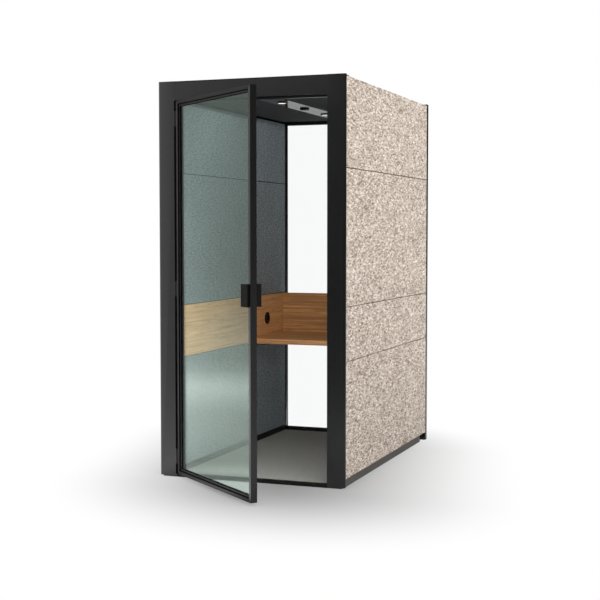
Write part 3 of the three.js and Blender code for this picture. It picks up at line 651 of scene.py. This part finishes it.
FELT = pressed_felt("pressed_felt")
PANELS = ("lower", "band", "middle", "upper")
FELT_EDGE = 0.0022
for side in SIDES:
    for panel in PANELS:
        dress(f"felt_{side}_{panel}", FELT, FELT_EDGE, segments=3)

# Side walls, inside
# Cloth-wrapped acoustic panels above and below an oak-veneered band, clipped to the core.
# The band's grain runs from the door to the window. A black rubber strip on the top panel under the ceiling stands
# in for the shade of the gap there: painted shade.


def woven_cloth(name):
    """Blue-grey upholstery cloth: a plain weave of slightly uneven yarns."""
    finish, tree, surface, place = new_finish(name, 0.92, specular=0.15)
    fleck = noise(tree, place, 420, 3, 0.7)
    blot = noise(tree, stretched(tree, place, (1, 0.3, 1)), 125, 2, 0.5)
    cloud = noise(tree, place, 5, 2)
    tone = math(tree, "ADD", math(tree, "MULTIPLY", fleck, 0.2), math(tree, "MULTIPLY", blot, 0.7))
    tone = math(tree, "ADD", tone, math(tree, "MULTIPLY", cloud, 0.1))
    colours = [(0.38, srgb(92, 101, 106)), (0.5, srgb(120, 130, 135)), (0.62, srgb(145, 155, 159))]
    paint(tree, surface, ramp(tree, tone, colours))
    threads = []
    for way in ("Y", "Z"):
        sockets = {"Vector": place, "Scale": 110.0, "Distortion": 1.0}
        wave = add_node(tree, "ShaderNodeTexWave", sockets, bands_direction=way)
        threads.append(wave.outputs["Fac"])
    weave = math(tree, "MAXIMUM", threads[0], threads[1])
    relief(tree, surface, math(tree, "ADD", weave, fleck), 0.35, 0.0012)
    surface.inputs["Sheen Weight"].default_value = 0.2
    return finish


GRAIN_STRETCH = 0.025


def oak_veneer(name, along, pale):
    """Oak veneer under satin lacquer, with its grain along one axis. The pale shift is painted light: a paler copy
    stands for oak in more light, a darker one for oak in shade.
    """
    finish, tree, surface, place = new_finish(name, 0.5, specular=0.35)
    grain = [1.0, 1.0, 1.0]
    grain["XYZ".index(along)] = GRAIN_STRETCH
    way = stretched(tree, place, grain)
    broad = noise(tree, way, 20, 3, 0.5, 0.25)
    fine = noise(tree, way, 95, 4, 0.6, 0.2)
    pores = noise(tree, way, 420, 2, 0.5)
    tone = math(tree, "ADD", math(tree, "MULTIPLY", broad, 0.15), math(tree, "MULTIPLY", fine, 0.55))
    # Painted light: pale shifts the whole veneer lighter or darker, for a lit or a shaded copy of one oak.
    tone = math(tree, "ADD", tone, pale)
    colours = [
        (0.37, srgb(182, 132, 86)),
        (0.46, srgb(208, 155, 103)),
        (0.54, srgb(232, 178, 122)),
        (0.65, srgb(250, 200, 142)),
    ]
    veneer = ramp(tree, tone, colours)
    open_pores = ramp(tree, pores, [(0.34, (0.70, 0.64, 0.58, 1)), (0.44, WHITE)])
    sockets = {0: 1.0, 6: veneer, 7: open_pores}
    mix = add_node(tree, "ShaderNodeMix", sockets, data_type="RGBA", blend_type="MULTIPLY")
    paint(tree, surface, mix.outputs[2])
    relief(tree, surface, math(tree, "ADD", pores, fine), 0.15, 0.0006)
    return finish


CLOTH = woven_cloth("woven_cloth")
# Painted light: the wall band's oak is shifted paler, as if in more light.
LIT_OAK_WALL = oak_veneer("lit_oak_along_wall", "Y", pale=0.22)
LINING_EDGE = 0.0032
CEILING_SHADE_H = 0.008
CEILING_SHADE_T = 0.0015
CEILING_SHADE_EDGE = 0.0006
for side in SIDES:
    for panel in PANELS:
        dress(f"lining_{side}_{panel}", LIT_OAK_WALL if panel == "band" else CLOTH, LINING_EDGE, segments=3)
    # Painted shade: a black strip along the top of the upper panel, where the gap under the ceiling is shaded.
    panel = f"lining_{side}_upper"
    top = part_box(panel)[1].z
    shade_strip = wall_strip(panel, CEILING_SHADE_T, top - CEILING_SHADE_H, top, CEILING_SHADE_EDGE)
    settle(shade_strip, "ceiling_shade_strip_" + side, "pod", RUBBER)

# Power socket
# A round black socket let into the left oak band above the desk: a dished face with two sleeved pin holes
# and two earth springs of brass.
SOCKET_BODY_R = 0.032
SOCKET_BODY_T = 0.012
SOCKET_WELL_R = 0.020
SOCKET_WELL_D = 0.010
# Steps inward from the rim and down from the face, then outward from the well and down from the face.
SOCKET_RIM = ((0, 0.003), (0.0008, 0.0012), (0.0028, 0))
SOCKET_LIP = ((0.004, 0), (0.0035, 0.001), (0, 0.0012))
SOCKET_TAPER = 0.0005
low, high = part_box("power_socket")
socket_r = (high.y - low.y) / 2
face = high.x - low.x
well = face - SOCKET_WELL_D
on_wall = Matrix.Translation((low.x, (low.y + high.y) / 2, (low.z + high.z) / 2))
on_wall = on_wall @ Matrix.Rotation(pi / 2, 4, "Y")
profile = [(0, 0), (SOCKET_BODY_R, 0), (SOCKET_BODY_R, SOCKET_BODY_T), (socket_r, SOCKET_BODY_T)]
profile += [(socket_r - inward, face - down) for inward, down in SOCKET_RIM]
profile += [(SOCKET_WELL_R + outward, face - down) for outward, down in SOCKET_LIP]
profile += [(SOCKET_WELL_R - SOCKET_TAPER, well), (0, well)]
socket = placed(turned(profile), on_wall)
settle(socket, "power_socket_piece", "pod", BLACK_PLASTIC, ["power_socket"])


def brass(name):
    """Drawn brass, a little dulled."""
    finish, tree, surface, place = new_finish(name, 0.3, metallic=1)
    dull = noise(tree, place, 200, 3)
    paint(tree, surface, ramp(tree, dull, [(0.3, srgb(168, 132, 72)), (0.7, srgb(196, 160, 96))]))
    return finish


BRASS = brass("brass")
PIN_R = 0.0026
PIN_WALL = 0.0012
PIN_PITCH = 0.019
SLEEVE_FLOOR = 0.0003
SLEEVE_SIDE = 0.0006
SLEEVE_LIP = 0.0009
SPRING = (0.0016, 0.006, 0.0085)
SPRING_EDGE = 0.0006
SPRING_INSET = 0.0018
for end, shift in (("front", -PIN_PITCH / 2), ("rear", PIN_PITCH / 2)):
    rim = PIN_R + PIN_WALL
    profile = [(0, 0), (rim, 0), (rim, SLEEVE_SIDE), (PIN_R, SLEEVE_LIP), (PIN_R, SLEEVE_FLOOR)]
    sleeve = turned(profile + [(0, SLEEVE_FLOOR)], steps=24)
    placed(sleeve, on_wall @ Matrix.Translation((0, shift, well)))
    settle(sleeve, "socket_pin_sleeve_" + end, "pod", BRASS)
for end, sign in (("top", -1), ("bottom", 1)):
    half = Vector(SPRING) / 2
    spring = bar(-half, half, SPRING_EDGE)
    off_middle = sign * (SOCKET_WELL_R - SPRING_INSET)
    placed(spring, on_wall @ Matrix.Translation((off_middle, 0, well + half.z)))
    settle(spring, "socket_earth_spring_" + end, "pod", BRASS)

# Roof and ceiling
# A dark laminate board closes the top. Under it hangs a dark felt ceiling with a polished strip along its
# middle, between two air slots.


def dark_laminate(name):
    """Hard laminate with a fine pebbled print."""
    finish, tree, surface, place = new_finish(name, 0.6, specular=0.3)
    print_tone = noise(tree, place, 260, 4)
    paint(tree, surface, ramp(tree, print_tone, [(0.35, srgb(44, 44, 44)), (0.7, srgb(58, 58, 57))]))
    relief(tree, surface, noise(tree, place, 800, 2), 0.2, 0.0005)
    return finish


def ceiling_felt(name):
    """Dark needled felt."""
    finish, tree, surface, place = new_finish(name, 0.95, specular=0.1)
    fibre = noise(tree, place, 190, 5, 0.7, 0.6)
    colours = [(0.3, srgb(54, 58, 59)), (0.5, srgb(73, 77, 79)), (0.72, srgb(92, 97, 98))]
    paint(tree, surface, ramp(tree, fibre, colours))
    relief(tree, surface, fibre, 0.4, 0.0018)
    return finish


def polished_strip(name):
    """Dark polished acrylic, with faint wipe marks in its gloss."""
    finish, tree, surface, place = new_finish(name, 0.1, specular=0.2)
    tone = noise(tree, place, 6, 2)
    paint(tree, surface, ramp(tree, tone, [(0.3, srgb(50, 46, 47)), (0.7, srgb(57, 52, 54))]))
    wipes = noise(tree, stretched(tree, place, (1, 0.1, 1)), 30, 3)
    tree.links.new(eased(tree, wipes, 0.3, 0.7, 0.09, 0.14), surface.inputs["Roughness"])
    surface.inputs["Specular Tint"].default_value = srgb(255, 232, 232)
    return finish


LAMINATE = dark_laminate("dark_laminate")
CEILING_FELT = ceiling_felt("ceiling_felt")
STRIP_GLOSS = polished_strip("polished_strip")
ROOF_EDGE = 0.001
CEILING_EDGE = 0.001
STRIP_EDGE = 0.0008
dress("roof_panel", LAMINATE, ROOF_EDGE)
dress("ceiling_panel", CEILING_FELT, CEILING_EDGE)
dress("ceiling_strip", STRIP_GLOSS, STRIP_EDGE)

# Lamps and motion sensor
# Two small downlights with a black plastic trim ring and a shallow opal lens, and a squat black sensor
# between them. Each is pushed through the strip by its neck. A wide lamp under each lens lights the cabin.


def lit_lens(name, strength):
    """An opal lens with its lamp on."""
    finish, tree, surface, place = new_finish(name, 0.3)
    haze = noise(tree, place, 400, 2)
    paint(tree, surface, ramp(tree, haze, [(0.3, srgb(240, 238, 230)), (0.7, srgb(250, 249, 244))]))
    surface.inputs["Emission Color"].default_value = srgb(255, 250, 242)
    surface.inputs["Emission Strength"].default_value = strength
    return finish


LAMP_RING_T = 0.006
LENS_R = 0.0235
LENS_T = 0.0018
LENS_BULGE = 0.0008
# How much of the bulge is left at each radius.
LENS_CURVE = ((0, 1), (0.012, 0.7), (0.019, 0.3))
LENS_SEAT = 0.002
LENS_GAP = 0.0005
RING_EDGE = 0.001
NECK_R = 0.0195
LAMP_R = 0.005
LAMP_DROP = 0.001
LAMP_SPREAD = radians(178)
LAMP_BLEND = 0.03
# Each lamp's end of the strip, the glow of its lens and its watts.
LAMPS = (("front", 1.1, 6.0), ("rear", 0.5, 1.2))
SENSOR_EDGE = 0.0012
strip_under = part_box("ceiling_strip")[0].z
for end, strength, watts in LAMPS:
    low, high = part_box("downlight_" + end)
    middle = upright_at(low, high, 0)
    ring_r = (high.x - low.x) / 2
    ring_under = strip_under - LAMP_RING_T
    profile = [
        (0, ring_under + LENS_SEAT),
        (LENS_R + LENS_GAP, ring_under + LENS_SEAT),
        (LENS_R + 2 * LENS_GAP, ring_under),
        (ring_r - RING_EDGE, ring_under),
        (ring_r, ring_under + RING_EDGE),
        (ring_r, strip_under),
        (NECK_R, strip_under),
        (NECK_R, high.z),
        (0, high.z),
    ]
    ring = placed(turned(profile), middle)
    settle(ring, "downlight_ring_" + end, "pod", BLACK_PLASTIC)
    profile = [(r, ring_under - LENS_BULGE * share) for r, share in LENS_CURVE]
    profile += [(LENS_R, ring_under), (LENS_R, ring_under + LENS_T), (0, ring_under + LENS_T)]
    lens = placed(turned(profile), middle)
    finish = lit_lens("lit_lens_" + end, strength)
    settle(lens, "downlight_lens_" + end, "pod", finish, ["downlight_" + end])
    lamp = bpy.data.lights.new("lamp_" + end, "SPOT")
    lamp.energy = watts
    lamp.shadow_soft_size = LAMP_R
    lamp.spot_size = LAMP_SPREAD
    lamp.spot_blend = LAMP_BLEND
    hang_light(lamp, (0, (low.y + high.y) / 2, low.z - LAMP_R - LAMP_DROP))
dress("motion_sensor", BLACK_PLASTIC, SENSOR_EDGE)

# Desk
# A thick oak-veneered top and a matching board across the window, with their grain from wall to wall.
# Both are screwed to two painted steel angles on the side walls.
# Painted shade: the desk's oak is shifted darker, as if in shade.
SHADED_OAK_DESK = oak_veneer("shaded_oak_along_desk", "X", pale=0.08)
DESK_EDGE = 0.0015
BRACKET_EDGE = 0.0008
dress("desk_top", SHADED_OAK_DESK, DESK_EDGE)
dress("rear_board", SHADED_OAK_DESK, DESK_EDGE)
BRACKET_TONES = (srgb(34, 34, 34), srgb(40, 40, 40))
BRACKET_COAT = powder_coat("bracket_coat", *BRACKET_TONES, roughness=0.5, specular=0.3)
for side in SIDES:
    dress("desk_bracket_" + side, BRACKET_COAT, BRACKET_EDGE)

# Fan, lamp driver and power inlet
# A square fan hangs under the roof and blows out through a round hole with a wire guard. The lamp driver
# is beside it in the roof space, and the cord's inlet is let into the roof near the window.
ROOF_PLASTICS = (
    ("fan_housing", 0.0008),
    ("fan_rotor", 0.0004),
    ("lamp_driver", 0.001),
    ("power_inlet", 0.0006),
)
for node, edge in ROOF_PLASTICS:
    dress(node, BLACK_PLASTIC, edge)


def plated_wire(name):
    """Drawn steel wire with dull plating."""
    finish, tree, surface, place = new_finish(name, 0.35, metallic=1)
    dull = noise(tree, place, 300, 3)
    paint(tree, surface, ramp(tree, dull, [(0.3, srgb(120, 122, 124)), (0.7, srgb(156, 158, 160))]))
    return finish


WIRE = plated_wire("plated_wire")
WIRE_R = 0.0011
WIRE_SIDES = 10
WIRE_WELD = 0.0003
GUARD_RINGS = (0.014, 0.028, 0.042, 0.0575)
SPOKE_PAST_RING = 0.004
SPOKE_LENGTH = GUARD_RINGS[-1] + SPOKE_PAST_RING
low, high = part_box("fan_housing")
roof_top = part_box("roof_panel")[1].z
guard = bmesh.new()
for ring_r in GUARD_RINGS:
    made = bmesh.ops.create_circle(guard, segments=WIRE_SIDES, radius=WIRE_R)["verts"]
    stand = Matrix.Translation((ring_r, 0, WIRE_R)) @ Matrix.Rotation(pi / 2, 4, "X")
    bmesh.ops.transform(guard, matrix=stand, verts=made)
    loop = list({e for v in made for e in v.link_edges})
    bmesh.ops.spin(
        guard,
        geom=made + loop,
        cent=(0, 0, 0),
        axis=(0, 0, 1),
        angle=2 * pi,
        steps=56,
        use_merge=True,
    )
for quarter in range(4):
    made = bmesh.ops.create_cone(
        guard,
        cap_ends=True,
        segments=WIRE_SIDES,
        radius1=WIRE_R,
        radius2=WIRE_R,
        depth=SPOKE_LENGTH,
    )["verts"]
    lie = Matrix.Rotation(quarter * pi / 2 + pi / 4, 4, "Z")
    lie = lie @ Matrix.Translation((SPOKE_LENGTH / 2, 0, 3 * WIRE_R - WIRE_WELD))
    bmesh.ops.transform(guard, matrix=lie @ Matrix.Rotation(pi / 2, 4, "Y"), verts=made)
bmesh.ops.recalc_face_normals(guard, faces=guard.faces)
placed(guard, upright_at(low, high, roof_top))
settle(guard, "outlet_guard", "pod", WIRE)

INLET_PIN = (0.004, 0.0015, 0.014)
INLET_PIN_EDGE = 0.0004
INLET_PLACES = ((-0.007, 0.002), (0, -0.003), (0.007, 0.002))
INLET_FLOOR = 0.003
low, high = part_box("power_inlet")
inlet_middle = (low + high) / 2
for number, (x, y) in enumerate(INLET_PLACES):
    root = Vector((inlet_middle.x + x, inlet_middle.y + y, low.z + INLET_FLOOR))
    half = Vector((INLET_PIN[0] / 2, INLET_PIN[1] / 2, 0))
    blade = bar(root - half, root + half + Vector((0, 0, INLET_PIN[2])), INLET_PIN_EDGE)
    settle(blade, f"inlet_pin_{number}", "pod", BRASS)

# Door
# A slim frame of four mitred aluminium profiles round a pane of laminated glass in black gaskets, hung on
# three pin hinges with rubber strips and bulbs between them. The strips are black to stand in for the shade of
# the gap on the hinge side: painted shade. The black gasket on the profile's step is partly painted shade too.
# A grip plate on a black block outside and a steel angle inside make the handle.
DOOR_EDGE = 0.0006
HINGE_EDGE = 0.0004
HINGES = ("hinge_lower", "hinge_middle", "hinge_upper")
for node in ("door_stile_hinge", "door_stile_latch"):
    dress(node, ANTHRACITE, DOOR_EDGE)
for node in ("door_rail_top", "door_rail_bottom"):
    dress(node, DULL_ANTHRACITE, DOOR_EDGE)
for node in reversed(HINGES):
    dress(node, ANTHRACITE, HINGE_EDGE)
GREEN_MIRROR = (0.62, 1, 0.76, 1)
DOOR_GLASS = clear_glass("door_glass_clear", srgb(222, 240, 231), bend=1.5, mirror_tint=GREEN_MIRROR)
coat(DOOR_GLASS, "door_glass")

swing = next(joint for joint in frame["joints"] if joint["name"] == "door_swing")
hinge_line = Matrix.Translation((swing["pos_m"][0], swing["pos_m"][1], 0))
door_place = hinge_line @ Matrix.Rotation(radians(swing["range_deg"][0]), 4, "Z")


def door_box(*nodes):
    """The box round pieces of the door, in the shut door's own frame."""
    back = door_place.inverted()
    points = []
    for node in nodes:
        piece = frame["nodes"][node]
        points += [back @ (piece.matrix_world @ v.co) for v in piece.data.vertices]
    low = Vector([min(p[i] for p in points) for i in range(3)])
    high = Vector([max(p[i] for p in points) for i in range(3)])
    return low, high


DOOR_LIP = 0.020
BEAD_DROP = 0.007
DOOR_FACE = 0.034
# Each gasket's width on the glass or the step, and its thickness.
# The step gasket is partly painted shade: black rubber where the profile's step lies in shade.
STEP_SHADE_GASKET = (0.005, 0.0015)
PANE_GASKET = (0.003, 0.002)
DOOR_GASKET_EDGE = 0.0004
low, high = door_box("door_rail_top", "door_rail_bottom")
pane_low, pane_high = door_box("door_glass")
door_middle = (low + high) / 2
door_out = low.y
rings = (
    ("step_shade", DOOR_LIP, STEP_SHADE_GASKET, door_out + BEAD_DROP - STEP_SHADE_GASKET[1]),
    ("outer", DOOR_FACE, PANE_GASKET, pane_low.y - PANE_GASKET[1]),
    ("inner", DOOR_FACE, PANE_GASKET, pane_high.y),
)
for name, inset, (band, thickness), y in rings:
    ring = gasket_ring(high.x - low.x - 2 * inset, high.z - low.z - 2 * inset, band, thickness)
    ease(ring, DOOR_GASKET_EDGE)
    placed(ring, door_place @ Matrix.Translation((door_middle.x, y, door_middle.z)))
    settle(ring, "door_gasket_" + name, "door", RUBBER)

# Painted shade: black strips on the stile along the hinge side, where the gap is shaded.
HINGE_SHADE_W = 0.0085
HINGE_SHADE_T = 0.0006
HINGE_SHADE_EDGE = 0.0002
BULB_R = 0.0037
BULB_EDGE = 0.0008
stile_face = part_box("front_stile_left")[0].y
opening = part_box("hinge_upper")[0].x
levels = [low.z]
for node in HINGES:
    levels += [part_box(node)[0].z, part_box(node)[1].z]
levels.append(high.z)
for number, (bottom, top) in enumerate(zip(levels, levels[1:])):
    at_hinge = number % 2
    width = HINGE_SHADE_W / 2 if at_hinge else HINGE_SHADE_W
    corner = (opening - width, stile_face - HINGE_SHADE_T, bottom)
    strip = bar(corner, (opening, stile_face, top), HINGE_SHADE_EDGE)
    settle(strip, f"hinge_shade_strip_{number}", "pod", RUBBER)
    if not at_hinge:
        end_r = BULB_R - BULB_EDGE
        profile = [(0, bottom), (end_r, bottom), (BULB_R, bottom + BULB_EDGE)]
        profile += [(BULB_R, top - BULB_EDGE), (end_r, top), (0, top)]
        bulb = placed(turned(profile, steps=20), hinge_line)
        settle(bulb, f"hinge_bulb_{number}", "pod", RUBBER)

HANDLE_TONES = (srgb(22, 22, 21), srgb(27, 27, 26))
HANDLE_COAT = powder_coat("handle_coat", *HANDLE_TONES, roughness=0.55, specular=0.04)
HANDLE_EDGE = 0.0008
GRIP_T = 0.004
BEHIND_GRIP = 0.0005
handle = dress("door_handle", HANDLE_COAT, HANDLE_EDGE)
handle.data.materials.append(RUBBER)
grip_back = door_box("door_handle")[0].y + GRIP_T
shut = door_place.inverted()
for facet in handle.data.polygons:
    depth = (shut @ facet.center).y
    if grip_back + BEHIND_GRIP < depth < door_out:
        facet.material_index = 1
